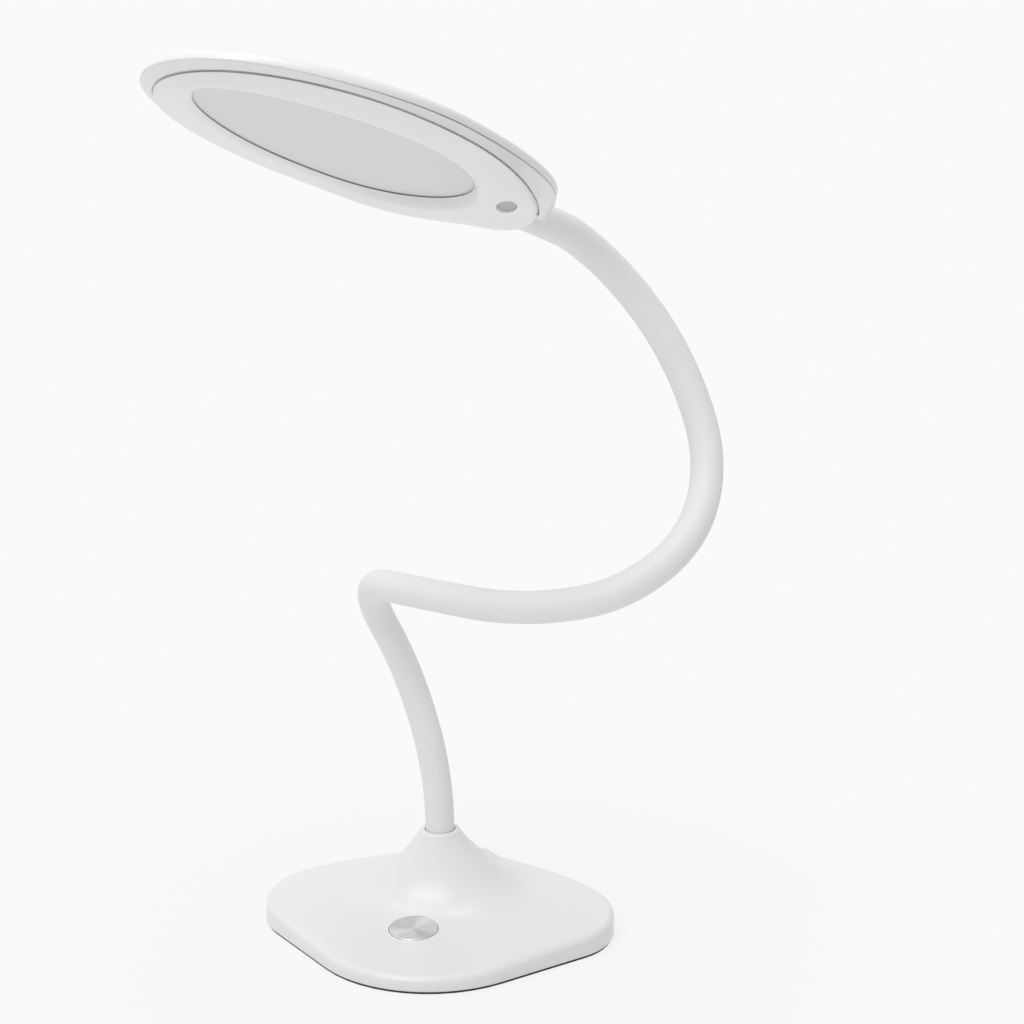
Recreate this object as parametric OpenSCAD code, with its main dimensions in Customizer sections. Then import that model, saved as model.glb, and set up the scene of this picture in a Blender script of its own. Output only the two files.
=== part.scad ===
// White desk lamp: a weighted base with a push button, a bendable neck and a flat oval light head.
// Millimetres. The origin lies on the desk under the axis of the post, +Z is up, the front is towards -Y.

/* [Base] */
// Width of the base across its side corners
base_w = 170; // [155:1:185]
// Distance of the base's middle to the right of the post axis
base_x = 1.8; // [0:0.2:3]
// Reach of the base in front of the post axis
base_front = 85; // [80:1:95]
// Reach of the base behind the post axis
base_back = 40; // [38:1:46]
// Plan radius of the side corners
corner_r = 32; // [28:1:36]
// Distance of the side corners' centres in front of the post axis
corner_y = 13; // [10:1:16]
// Plan radius of the front corner
front_r = 60; // [52:1:66]
// Height of the top face at the front edge
front_h = 8; // [7.5:0.5:10]
// Height of the top face at the back edge
back_h = 16.2; // [16:0.2:20]
// Rise of the raised back over the power inlet
hump_h = 2.9; // [0:0.1:4]
// Wall of the base shell
base_wall = 2.2; // [1.8:0.1:2.6]
// Radius of the rounded top edge
edge_r = 3; // [2:0.5:4]
// Thickness of the anti-slip pad
pad_t = 1.2; // [0.8:0.1:1.6]
// Distance of the pad's edge inside the base outline
pad_inset = 1; // [0.5:0.5:3]
// Thickness of the steel bottom cover
cover_t = 2; // [1.5:0.1:2.4]
// Thickness of the cast weight
weight_t = 6; // [4:0.5:6.5]
// Fitting gap between the pieces of the base
base_gap = 0.3; // [0.2:0.05:0.4]

/* [Post] */
// Height of the rim of the post
post_h = 45; // [42:1:55]
// Radius of the post under its rounded rim
post_r = 10; // [9.5:0.5:12]
// Reach of the flare towards the front
flare_front = 34; // [30:1:40]
// Reach of the flare towards the sides and the back
flare_back = 52; // [46:1:60]
// Depth of the socket that takes the end of the neck
socket_d = 11; // [8:1:12]
// Thickness of the socket's floor
socket_floor = 4; // [3:0.5:5]

/* [Button] */
// Diameter of the push button
button_d = 23; // [18:1:24]
// Offset of the button from the post axis, to the left when negative
button_x = -4; // [-8:1:8]
// Distance of the button in front of the post axis
button_y = 41.5; // [38:0.5:44]
// Height of the button above the base's top face
button_proud = 0.8; // [0.5:0.1:1.5]
// Travel of the button
button_travel = 0.4; // [0.3:0.05:0.5]

/* [Neck] */
// Outer diameter of the silicone sleeve
neck_d = 14; // [13:0.5:15]
// Outer diameter of the steel core
core_d = 7.6; // [7:0.2:8]
// Wall of the steel core
core_wall = 1.5; // [1.2:0.1:1.7]
// Diameter of the lead inside the core
lead_d = 3.2; // [2.6:0.2:3.6]
// Length of one link of the neck
link_len = 54; // [50:1:60]
// Running gap at the ball and cup between two links
joint_gap = 0.3; // [0.25:0.05:0.4]

/* [Head] */
// Length of the head's oval
head_len = 175.5; // [165:0.5:190]
// Width of the head's oval
head_w = 109; // [100:1:116]
// Distance from the end of the neck's last bend to the tail of the oval
head_tail = 25.5; // [24:0.5:30]
// Distance from the tail of the oval to the straight rear wall
tail_cut = 14.5; // [13:0.5:18]
// Depth of the underside's edge below the neck axis
plate_drop = 5; // [4.6:0.2:6]
// Height of the rim between the two visible joints
rim_h = 4.9; // [4.5:0.1:6]
// Height of the top cover's side
cover_side_h = 4.7; // [4.5:0.1:6]
// Fall of the top cover's side from the tail to the tip
cover_fall = 1; // [0:0.1:1.2]
// Rise of the top cover's crown above its side
crown_h = 3.4; // [2:0.2:6]
// Rise of the top cover's hood over the neck
hood_h = 5; // [4.6:0.2:7]
// Wall of the head's shells
head_wall = 2; // [1.6:0.1:2.4]
// Width of the dark groove between rim and lower plate
groove_h = 0.6; // [0.4:0.1:1]
// Thickness of the lower plate at its edge
plate_t = 1.6; // [1.2:0.1:2]
// Drop of the lower plate's tail under the neck
tail_dip = 3; // [2.8:0.2:4]
// Distance from the tail of the oval to the light window
window_tail = 38; // [36:1:46]
// Width of the light window
window_w = 67; // [55:1:72]
// Distance from the head's tip to the light window
window_tip = 13.5; // [13:0.5:18]
// Width of the sloping edge round the light window
window_bevel = 3; // [2:0.5:4]
// Thickness of the diffuser's flange
diffuser_t = 1.4; // [1:0.1:1.6]
// Thickness of the light board
board_t = 1.6; // [1:0.1:1.6]
// Thickness of the heat spreader
spreader_t = 1; // [0.8:0.1:1.2]
// Rows of light chips across the board
chip_rows = 3; // [2:1:4]
// Light chips in each row
chip_cols = 8; // [5:1:9]
// Diameter of the screw well beside the neck
well_d = 10; // [9:0.5:11]
// Distance of the screw well from the neck axis
well_y = 16; // [15:0.5:17]

/* [Hidden] */
$fn = 48;
arc_steps = 12;
back_steps = 18;
oval_steps = 60;
rear_steps = 10;

// Plan of the base: a front arc, two corner arcs and a back arc that meet smoothly
corner_x = base_w / 2 - corner_r;
back_k = base_back - corner_r;
back_cy = (back_k * back_k - corner_x * corner_x - corner_y * corner_y) / (2 * (corner_y + back_k));
back_r = base_back - back_cy;
front_cy = front_r - base_front;
flank_y = -corner_y - front_cy;
flank_a = atan2(flank_y, corner_x) - acos((front_r - corner_r) / norm([corner_x, flank_y]));
back_a = atan2(-corner_y - back_cy, corner_x);
function arc(c, r, a0, a1, n) =
    [for (k = [0:n]) let (a = a0 + (a1 - a0) * k / n) [c[0] + r * cos(a), c[1] + r * sin(a)]];
function base_outline(inset) = concat(
    arc([base_x, front_cy], front_r - inset, -180 - flank_a, flank_a, arc_steps),
    arc([base_x + corner_x, -corner_y], corner_r - inset, flank_a, back_a, arc_steps),
    [for (p = arc([base_x, back_cy], back_r - inset, back_a, 180 - back_a, back_steps))
        if (abs(p[0] - base_x) < corner_x) p],
    arc([base_x - corner_x, -corner_y], corner_r - inset, 180 - back_a, 180 - flank_a, arc_steps));

// Top face of the base: a plane that falls to the front, a flare up to the post and a raised back
top_slope = (back_h - front_h) / (base_front + base_back);
top_tilt = atan(top_slope);
plane_at_post = front_h + base_front * top_slope;
rim_round = 1.4;
hem = 0.6;
hump_half = 14;
hump_soft = 10;
function soft(t) = let (u = min(1, max(0, t))) u * u * (3 - 2 * u);
function plane_z(y) = front_h + (y + base_front) * top_slope;
function flare_reach(p) =
    flare_back + (flare_front - flare_back) * pow(max(0, -p[1] / max(norm(p), 0.1)), 2);
function flare(p) =
    pow(1 - min(1, max(0, (norm(p) - post_r) / (flare_reach(p) - post_r))), 2.2);
function hump(p) =
    hump_h * soft((hump_half + hump_soft - abs(p[0])) / hump_soft) * soft(3 * p[1] / base_back);
function top_z(p) =
    plane_z(p[1]) + (post_h - rim_round - plane_at_post) * flare(p) + hump(p) * (1 - flare(p));
function lift(points, z) = [for (p = points) [p[0], p[1], z]];
function on_post(points, r, z) = [for (p = points) [r * p[0] / norm(p), r * p[1] / norm(p), z]];
function towards_post(p, s) = p * s + (1 - s) * post_r * p / norm(p);

// Stack of the base, from the desk up
cover_z = pad_t;
floor_z = pad_t + cover_t;
lead_z = floor_z + lead_d / 2 + base_gap;
socket_z = post_h - socket_d;
boss_r = post_r + 2;
boss_z = socket_z - socket_floor;
boss_d = 8;
boss_grip = 1;
boss_front = [corner_x + boss_d, -corner_y - 0.7 * corner_r];
boss_back = [corner_x - boss_d / 4, base_back - 3 * boss_d - boss_grip];
boss_sites = [for (side = [-1, 1], p = [boss_front, boss_back]) [base_x + side * p[0], p[1]]];
base_screw_d = 3;
base_screw_head_d = 5.6;
base_screw_len = 7;
weight_front = 22;
weight_inset = 12;
weight_gap = 1;
supply_x = lead_d + 2 * base_gap;
lead_groove = [-lead_d, supply_x + lead_d];

// Neck fastening in the post
thread_d = 10;
thread_gap = 0.2;
nut_af = 16;
nut_t = 6;
thread_tail = 2;
sleeve_bore = core_d + 2 * thread_gap;
core_bore = core_d - 2 * core_wall;
ferrule_top = socket_z + 8;

// Button stack, measured down from the base's top face
cap_gap = 0.3;
cap_edge = 0.4;
cap_land = 1.4;
cap_dish = 0.5;
flange_d = button_d + 3;
flange_t = 0.7;
flange_z = -base_wall - cap_gap;
plunger_d = 3.2;
plunger_t = 1.2;
switch_w = 6.2;
switch_t = 1.4;
switch_gap = 0.2;
switch_floor = 0.3;
switch_z = flange_z - flange_t - button_travel - switch_gap - switch_t;
pcb_t = 0.8;
pcb_size = [34, 25];
pcb_post_d = 4;
pcb_post_grip = 1.2;

// Power inlet at the back
inlet_w = 9;
inlet_h = 10;
inlet_len = 13;
inlet_nose_d = 8;
inlet_bore_d = 6.4;
inlet_pin_d = 2;
inlet_depth = 9;
inlet_z = floor_z + inlet_h / 2;
inlet_step = 1.5;
inlet_face_y = base_back - base_wall - inlet_step;

// Pose of the neck: each link is an arc, bent by link_bend towards link_roll
links = 9;
link_bend = [17, 31, 72, 38, 20, 66, 54, 32, 37];
link_roll = [168, -94, -50, -8, 80, 42, 106, 116, 132];
head_nod = 7;
head_roll = 104;
ball_step = 0.25;
ball_r = neck_d / 2 - ball_step;
cup_r = ball_r + joint_gap;
ball_neck = 2;
ball_root = 0.9;
ball_bore = sleeve_bore + 2 * joint_gap;
core_out = 4.5;
link_in = cup_r + joint_gap / 2;
lead_out = 6;

// Straight ends of the neck in the post and in the head, stepped so that each roots in its own bent part
foot_root = 1;
foot_step = 0.3;
stub_root = 1.2;
stub_step = 0.6;
stub_d = neck_d + stub_step;
stub_bore = sleeve_bore + stub_step;
core_stub_d = core_d - stub_step / 2;
core_stub_bore = core_bore + stub_step / 2;
lead_stub_d = lead_d - stub_step / 2;

// Head, in a frame at the end of the neck: X towards the tip, Z up
head_cx = head_tail + head_len / 2;
oval_skew = 0.144;
plate_taper = 0.22;
tail_full = 0.15;
rear_x = head_tail + tail_cut;
foot_cut = 2.5;
foot_x = head_tail + foot_cut;
groove_z = -plate_drop;
rim_z = groove_z + groove_h;
rim_top = groove_z + rim_h;
plate_z = groove_z - plate_t;
plate_edge_r = 1.2;
plate_step = 1;
plate_inset = 0.6;
ledge_w = 7;
ledge_t = 1.5;
cover_wall = 1.6;
cover_round = 3.4;
cover_lip = 0.4;
cover_curve = [[0.06, 0.8], [0.32, 0.3], [0.6, 0.08]];
crown_flat = 4;
hood_half = 20;
hood_end = rear_x + 45;
window_len = head_len - window_tail - window_tip;
window_cx = head_tail + window_tail + window_len / 2;
window_skew = -0.113;
diffuser_lip = 4;
diffuser_gap = 0.2;
diffuser_recess = 1.2;
board_margin = 3;
spreader_inset = head_wall + 1;
chip_size = [3.5, 2.8, 0.7];
tail_start = head_tail + 42;
neck_hole_d = stub_d + stub_step;
stub_x = rear_x + head_wall + 1;
clamp_gap = 0.5;
clamp_x = [stub_x + clamp_gap, head_tail + window_tail - diffuser_lip - 2 * clamp_gap];
well_boss_d = 8;
clamp_w = 2 * well_y + well_boss_d + 6 * clamp_gap;
clamp_drop = 1.2;
clamp_h = core_stub_d / 2 - clamp_drop;
core_end = clamp_x[1] - 1;
lead_end = head_tail + window_tail - board_margin - clamp_gap;
well_site = [clamp_x[1] - 0.7 * well_boss_d, well_y];
well_depth = 2.4;
well_boss_h = 1;
plug_gap = 0.3;
plug_dish = 0.9;
clamp_screw_d = 3;
clamp_screw_head_d = 5.6;
clamp_screw_head_t = 0.9;
clamp_screw_len = 6;
spreader_angles = [-125, -50, 50, 125];
spreader_screw_d = 2.4;
spreader_screw_head_d = 4.6;
spreader_screw_head_t = 0.7;

// A point of an oval with one blunt end, and a tail that may draw in
function oval_point(cx, l, w, skew, taper, a) =
    [cx + l / 2 * cos(a),
     w / 2 * sin(a) * (1 + skew * cos(a) - taper * pow(min(0, cos(a)), 2))];
function oval(cx, l, w, skew, taper = 0, n = oval_steps) =
    [for (k = [0:n - 1]) oval_point(cx, l, w, skew, taper, 360 * k / n)];
// An oval cut straight across at its rear wall
function cut_oval(inset, taper, cut_x) =
    let (l = head_len - 2 * inset,
         w = head_w - 2 * inset,
         end = acos((cut_x + inset - head_cx) / (l / 2)),
         side = [for (k = [0:oval_steps - 1])
             oval_point(head_cx, l, w, oval_skew, taper, end * (2 * k / (oval_steps - 1) - 1))],
         last = side[oval_steps - 1])
    concat(side, [for (k = [1:rear_steps]) last + (side[0] - last) * k / (rear_steps + 1)]);
// The head's outline under the top cover, and at the foot of the rim, where it follows the lower plate
function head_outline(inset) = cut_oval(inset, -tail_full, rear_x);
function rim_foot(inset) = cut_oval(inset, plate_taper, foot_x);
function plate_outline(inset) =
    oval(head_cx, head_len - 2 * inset, head_w - 2 * inset, oval_skew, plate_taper);
function window_outline(grow) = oval(window_cx, window_len + 2 * grow, window_w + 2 * grow, window_skew);
function shrink(points, s) = [for (p = points) [head_cx + (p[0] - head_cx) * s, p[1] * s]];
spreader_ring = [head_len - 2 * head_wall - ledge_w, head_w - 2 * head_wall - ledge_w];
spreader_sites = [for (a = spreader_angles)
    oval_point(head_cx, spreader_ring[0], spreader_ring[1], oval_skew, -tail_full, a)];
function dip(x) = tail_dip * pow(min(1, max(0, (tail_start - x) / (tail_start - head_tail))), 1.2);

well_seat = plate_z - dip(well_site[0]) + well_depth;

neck_names = [for (piece = ["sleeve", "core", "lead"], i = [1:links]) str("neck_", piece, "_", i)];

// Skin through a list of rings of equal length, capped at both ends or closed on itself
module loft(rings, closed = false) {
    n = len(rings[0]);
    m = len(rings);
    points = [for (ring = rings, p = ring) p];
    sides = [for (v = [0:m - (closed ? 1 : 2)], i = [0:n - 1], half = [0, 1])
        let (a = v * n, b = ((v + 1) % m) * n, j = (i + 1) % n)
        half == 0 ? [a + i, b + i, b + j] : [a + i, b + j, a + j]];
    caps = closed ? [] : [[for (i = [0:n - 1]) i], [for (i = [n - 1:-1:0]) (m - 1) * n + i]];
    polyhedron(points, concat(sides, caps));
}

// Frame of the button: on the sloping top face, with Z square to it
module at_button() {
    translate([button_x, -button_y, plane_z(-button_y)]) rotate([top_tilt, 0, 0]) children();
}

// Move along the arc of one bend, from its start to its end
module along_bend(bend, roll, length) {
    r = length / (bend * PI / 180);
    rotate([0, 0, roll]) translate([r, 0, 0]) rotate([0, bend, 0]) translate([-r, 0, 0]) children();
}

// Frame at the start of a link, with Z along the neck
module at_link(i) {
    if (i <= 1) translate([0, 0, post_h]) children();
    else at_link(i - 1) along_bend(link_bend[i - 2], link_roll[i - 2], link_len)
        rotate([0, 0, -link_roll[i - 2]]) children();
}

module at_link_end(i) { at_link(i + 1) children(); }

// Frame of the head: X towards the tip, Z up
module at_head() {
    at_link_end(links) rotate([0, 0, head_roll]) rotate([0, head_nod - 90, 0]) children();
}

module ring_section(d, bore) {
    difference() {
        circle(d = d);
        circle(d = bore);
    }
}

// Tube along the arc of one bend, shortened at its two ends
module bent_tube(bend, roll, length, d, bore, cut_start = 0, cut_end = 0) {
    r = length / (bend * PI / 180);
    a0 = bend * cut_start / length;
    a1 = bend * (length - cut_end) / length;
    rotate([0, 0, roll]) translate([r, 0, 0]) rotate(a = 180, v = [0, 1, 1]) rotate([0, 0, a0])
        rotate_extrude(angle = a1 - a0) translate([r, 0]) ring_section(d, bore);
}

module bent_rod(bend, roll, length, d, cut_start = 0, cut_end = 0) {
    r = length / (bend * PI / 180);
    a0 = bend * cut_start / length;
    a1 = bend * (length - cut_end) / length;
    rotate([0, 0, roll]) translate([r, 0, 0]) rotate(a = 180, v = [0, 1, 1]) rotate([0, 0, a0])
        rotate_extrude(angle = a1 - a0) translate([r, 0]) circle(d = d);
}

module straight_tube(d, bore, length) {
    linear_extrude(length) ring_section(d, bore);
}

// Bar along +X from x0 to x1
module bar_x(d, x0, x1) {
    translate([x0, 0, 0]) rotate([0, 90, 0]) cylinder(d = d, h = x1 - x0);
}

module tube_x(d, bore, x0, x1) {
    translate([x0, 0, 0]) rotate([0, 90, 0]) straight_tube(d, bore, x1 - x0);
}

// Skin of the base: from the underside of the socket boss, along the inside, and back over the outside
function base_rings() =
    let (out = base_outline(0),
         inside = base_outline(base_wall),
         shoulder = base_outline(edge_r),
         ceiling = [0.06, 0.16, 0.3, 0.5, 0.75, 1],
         outside = [0.85, 0.68, 0.52, 0.4, 0.3, 0.22, 0.15, 0.09, 0.045, 0],
         fillet = [0, 22.5, 45, 67.5])
    concat(
        [on_post(inside, boss_r, boss_z)],
        [for (s = ceiling)
            [for (p = inside)
                let (q = p * s + (1 - s) * boss_r * p / norm(p))
                [q[0], q[1], min(boss_z + 0.01 + s, top_z(q) - base_wall)]]],
        [lift(inside, cover_z)],
        [lift(base_outline(hem), cover_z), lift(out, cover_z + hem)],
        [for (a = fillet)
            let (flat = base_outline(edge_r * (1 - cos(a))))
            [for (p = flat) [p[0], p[1], top_z(p) - edge_r * (1 - sin(a))]]],
        [for (s = concat([1], outside))
            [for (p = shoulder) let (q = towards_post(p, s)) [q[0], q[1], top_z(q)]]],
        [for (a = fillet) if (a > 0) on_post(out, post_r - rim_round * (1 - cos(a)),
            post_h - rim_round * (1 - sin(a)))],
        [on_post(out, post_r - rim_round, post_h)]);

module base_shell() {
    color("white") difference() {
        union() {
            loft(base_rings());
            for (p = boss_sites) translate([p[0], p[1], floor_z])
                cylinder(d = boss_d, h = top_z(p) - base_wall + boss_grip - floor_z);
        }
        translate([0, 0, socket_z]) cylinder(d = neck_d + 2 * base_gap, h = socket_d + 1);
        translate([0, 0, boss_z - 1]) cylinder(d = thread_d + 2 * thread_gap, h = socket_floor + 2);
        at_button() translate([0, 0, -3 * base_wall])
            cylinder(d = button_d + 2 * cap_gap, h = 6 * base_wall);
        translate([0, base_back - base_wall - 4, inlet_z]) rotate([-90, 0, 0])
            cylinder(d = inlet_nose_d + 2 * base_gap, h = base_wall + 8);
        for (p = boss_sites) translate([p[0], p[1], floor_z - 1])
            cylinder(d = base_screw_d + 0.1, h = 1 + base_screw_len - cover_t + base_gap);
    }
}

module base_cover() {
    post_len = -switch_z + pcb_t;
    color("dimgray") difference() {
        union() {
            translate([0, 0, cover_z]) linear_extrude(cover_t)
                polygon(base_outline(base_wall + base_gap));
            for (x = [-1, 1], y = [-1, 1]) at_button()
                translate([x * (pcb_size[0] - pcb_post_d) / 2, y * (pcb_size[1] - pcb_post_d) / 2, 0])
                mirror([0, 0, 1]) translate([0, 0, post_len])
                cylinder(d = pcb_post_d, h = plane_z(-button_y) - floor_z - post_len + pcb_post_grip);
        }
        for (p = boss_sites) translate([p[0], p[1], cover_z]) {
            translate([0, 0, -1]) cylinder(d = base_screw_d + 2 * base_gap, h = cover_t + 2);
            translate([0, 0, -1]) cylinder(d = base_screw_head_d + 2 * base_gap, h = 1 + cover_t / 2);
        }
    }
}

module base_pad() {
    color("dimgray") linear_extrude(pad_t) polygon(base_outline(pad_inset));
}

// Cast weight behind the button, with a groove over the leads and a notch for the inlet
module weight_plate() {
    color("gray") translate([0, 0, floor_z]) difference() {
        linear_extrude(weight_t) difference() {
            intersection() {
                polygon(base_outline(weight_inset));
                translate([-base_w, -weight_front]) square([2 * base_w, base_w]);
            }
            circle(d = nut_af + 8 * weight_gap);
            translate([-inlet_w / 2 - weight_gap, 0]) square([inlet_w + 2 * weight_gap, base_back]);
            for (p = boss_sites) translate(p) circle(d = boss_d + 2 * weight_gap);
        }
        translate([lead_groove[0], -base_front, -1])
            cube([lead_groove[1] - lead_groove[0], base_front, 1 + lead_d + 2 * base_gap]);
    }
}

module base_screws() {
    color("silver") for (p = boss_sites) translate([p[0], p[1], cover_z]) {
        cylinder(d = base_screw_head_d, h = cover_t / 2);
        cylinder(d = base_screw_d, h = base_screw_len);
    }
}

module dc_inlet() {
    color("dimgray") translate([0, 0, inlet_z]) {
        difference() {
            union() {
                translate([-inlet_w / 2, inlet_face_y - inlet_len, -inlet_h / 2])
                    cube([inlet_w, inlet_len, inlet_h]);
                translate([0, inlet_face_y - 1, 0]) rotate([-90, 0, 0])
                    cylinder(d = inlet_nose_d, h = base_back - inlet_face_y + 1);
            }
            translate([0, base_back - inlet_depth, 0]) rotate([-90, 0, 0])
                cylinder(d = inlet_bore_d, h = inlet_depth + 1);
        }
        translate([0, base_back - inlet_depth - 1, 0]) rotate([-90, 0, 0])
            cylinder(d = inlet_pin_d, h = inlet_depth);
    }
}

module control_board() {
    color("seagreen") at_button() translate([-pcb_size[0] / 2, -pcb_size[1] / 2, switch_z - pcb_t])
        cube([pcb_size[0], pcb_size[1], pcb_t]);
}

module tact_switch() {
    color("black") at_button() translate([0, 0, switch_z]) difference() {
        translate([-switch_w / 2, -switch_w / 2, 0]) cube([switch_w, switch_w, switch_t]);
        translate([0, 0, switch_floor]) cylinder(d = plunger_d + 2 * cap_gap, h = switch_t);
    }
}

module tact_plunger() {
    color("ivory") at_button() translate([0, 0, flange_z - flange_t - plunger_t])
        cylinder(d = plunger_d, h = plunger_t);
}

// Turned cap with a shallow dish and a flange that keeps it in the shell
module button_cap() {
    r = button_d / 2;
    color("silver") at_button() rotate_extrude() polygon([
        [0, flange_z - flange_t], [flange_d / 2, flange_z - flange_t], [flange_d / 2, flange_z],
        [r, flange_z], [r, button_proud - cap_edge], [r - cap_edge, button_proud],
        [r - cap_land, button_proud], [r - 2 * cap_land, button_proud - 0.6 * cap_dish],
        [0, button_proud - cap_dish]]);
}

// Lead from the power inlet to the control board
module supply_lead() {
    y0 = -button_y + pcb_size[1] / 2 + base_gap;
    color("black") translate([supply_x, y0, lead_z]) rotate([-90, 0, 0])
        cylinder(d = lead_d, h = inlet_face_y - inlet_len - base_gap - y0);
}

// Lead from the control board to the foot of the neck
module lamp_lead() {
    turn_r = 6;
    run = button_y - pcb_size[1] / 2 - base_gap - turn_r;
    top = boss_z - nut_t - thread_tail;
    color("black") {
        translate([0, -turn_r, lead_z]) rotate([90, 0, 0]) cylinder(d = lead_d, h = run);
        translate([0, -turn_r, lead_z + turn_r]) rotate([0, 90, 0]) rotate_extrude(angle = 90)
            translate([turn_r, 0]) circle(d = lead_d);
        translate([0, 0, lead_z + turn_r]) cylinder(d = lead_d, h = top - lead_z - turn_r);
    }
}

// Threaded end fitting of the neck, clamped through the floor of the socket
module neck_ferrule() {
    foot = boss_z - nut_t - thread_tail;
    color("silver") {
        translate([0, 0, foot]) straight_tube(thread_d, core_bore, socket_z - foot);
        translate([0, 0, socket_z]) straight_tube(core_d, core_bore, ferrule_top - socket_z);
    }
}

module neck_nut() {
    color("silver") translate([0, 0, boss_z - nut_t]) difference() {
        cylinder(d = nut_af / cos(30), h = nut_t, $fn = 6);
        translate([0, 0, -1]) cylinder(d = thread_d + 2 * thread_gap, h = nut_t + 2, $fn = 48);
    }
}

// Silicone sleeve of one link: a cup at its start, and a ball at its end
module neck_sleeve(i) {
    bend = link_bend[i - 1];
    roll = link_roll[i - 1];
    color("white") {
        at_link(i) difference() {
            bent_tube(bend, roll, link_len, neck_d, sleeve_bore, 0, i < links ? ball_neck : 0);
            if (i > 1) sphere(r = cup_r);
        }
        if (i == 1) translate([0, 0, socket_z])
            straight_tube(neck_d - foot_step, sleeve_bore + foot_step, socket_d + foot_root);
        if (i < links) at_link_end(i) rotate_extrude() intersection() {
            circle(r = ball_r);
            translate([ball_bore / 2, -ball_neck - ball_root]) square(neck_d);
        }
        else at_head() tube_x(stub_d, stub_bore, -stub_root, stub_x);
    }
}

// Steel core of one link, which reaches into the ball but stays out of the cup
module neck_core(i) {
    bend = link_bend[i - 1];
    roll = link_roll[i - 1];
    color("silver") {
        at_link(i) bent_tube(bend, roll, link_len, core_d, core_bore, i > 1 ? link_in : 0,
            i < links ? -core_out : 0);
        if (i == 1) translate([0, 0, ferrule_top])
            straight_tube(core_d - foot_step, core_bore + foot_step, post_h - ferrule_top + foot_root);
        if (i == links) at_head() tube_x(core_stub_d, core_stub_bore, -stub_root, core_end);
    }
}

// Lead of one link inside the core
module neck_lead(i) {
    bend = link_bend[i - 1];
    roll = link_roll[i - 1];
    foot = boss_z - nut_t - thread_tail;
    color("dimgray") {
        at_link(i) bent_rod(bend, roll, link_len, lead_d, i > 1 ? link_in : 0, i < links ? -lead_out : 0);
        if (i == 1) translate([0, 0, foot])
            cylinder(d = lead_d - foot_step, h = post_h - foot + foot_root);
        if (i == links) at_head() bar_x(lead_stub_d, -stub_root, lead_end);
    }
}

// Block that grips the end of the core inside the head
module neck_clamp() {
    color("lightgray") at_head() difference() {
        translate([clamp_x[0], -clamp_w / 2, rim_z])
            cube([clamp_x[1] - clamp_x[0], clamp_w, clamp_h - rim_z]);
        bar_x(core_stub_d + 0.2, clamp_x[0] - 1, clamp_x[1] + 1);
        translate([well_site[0], well_site[1], rim_z - 1]) {
            cylinder(d = clamp_screw_d + 0.1, h = 2 + clamp_h - rim_z);
            cylinder(d = well_boss_d + 2 * plug_gap, h = 1.1 + well_boss_h);
        }
    }
}

// Screw that holds the clamp, seated in the well of the lower plate
module clamp_screw() {
    color("silver") at_head() translate([well_site[0], well_site[1], well_seat]) {
        translate([0, 0, -clamp_screw_head_t]) cylinder(d = clamp_screw_head_d, h = clamp_screw_head_t);
        cylinder(d = clamp_screw_d, h = clamp_screw_len);
    }
}

// Dished plug that closes the well under the screw
module screw_plug() {
    top = well_seat - clamp_screw_head_t - plug_gap / 5;
    bottom = well_seat - well_depth + plug_gap;
    dish_r = well_d / 2 - 2 * plug_gap;
    bowl_r = (dish_r * dish_r + plug_dish * plug_dish) / (2 * plug_dish);
    color("white") at_head() translate([well_site[0], well_site[1], 0]) difference() {
        translate([0, 0, bottom]) cylinder(d = well_d - 2 * plug_gap, h = top - bottom);
        translate([0, 0, bottom + plug_dish - bowl_r]) sphere(r = bowl_r, $fn = 96);
    }
}

// Lower plate: a dished window edge, a rounded rim and a tail that dips under the neck
function plate_rings() =
    let (low = function (points, z) [for (p = points) [p[0], p[1], z - dip(p[0])]])
    [lift(window_outline(0), rim_z),
     lift(window_outline(0), plate_z + window_bevel / 2),
     low(window_outline(window_bevel), plate_z),
     low(plate_outline(plate_inset + plate_edge_r), plate_z),
     low(plate_outline(plate_inset + plate_edge_r / 3), plate_z + plate_edge_r / 3),
     low(plate_outline(plate_inset), plate_z + plate_edge_r),
     lift(plate_outline(plate_inset), groove_z),
     lift(plate_outline(plate_inset + plate_step), groove_z),
     lift(plate_outline(plate_inset + plate_step), rim_z)];

module head_plate() {
    color("white") at_head() difference() {
        union() {
            loft(plate_rings(), closed = true);
            translate([well_site[0], well_site[1], rim_z - 1])
                cylinder(d = well_boss_d, h = 1 + well_boss_h);
        }
        bar_x(neck_hole_d, 0, stub_x + clamp_gap);
        translate([well_site[0], well_site[1], well_seat - 10]) cylinder(d = well_d, h = 10);
        translate([well_site[0], well_site[1], well_seat - 1]) cylinder(d = clamp_screw_d + 0.4, h = 10);
    }
}

// Rim: its foot follows the lower plate, its top the cover, and a ledge inside carries the heat spreader
function rim_rings() =
    let (ledge_z = rim_top - ledge_t,
         share = (ledge_z - rim_z) / (rim_top - rim_z),
         foot = rim_foot(head_wall),
         top = head_outline(head_wall),
         middle = [for (k = [0:len(foot) - 1]) foot[k] * (1 - share) + top[k] * share])
    [lift(rim_foot(0), rim_z), lift(head_outline(0), rim_top),
     lift(head_outline(head_wall + ledge_w), rim_top), lift(head_outline(head_wall + ledge_w), ledge_z),
     lift(middle, ledge_z), lift(foot, rim_z)];

module head_rim() {
    color("white") at_head() difference() {
        loft(rim_rings(), closed = true);
        bar_x(neck_hole_d, 0, stub_x + clamp_gap);
        translate([clamp_x[0] - clamp_gap, -clamp_w / 2 - clamp_gap, rim_z - 1])
            cube([clamp_x[1] - clamp_x[0] + 2 * clamp_gap, clamp_w + 2 * clamp_gap, rim_h + 2]);
        for (p = spreader_sites) translate([p[0], p[1], rim_top - ledge_t - 1])
            cylinder(d = spreader_screw_d + 0.1, h = ledge_t + 2);
    }
}

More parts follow.
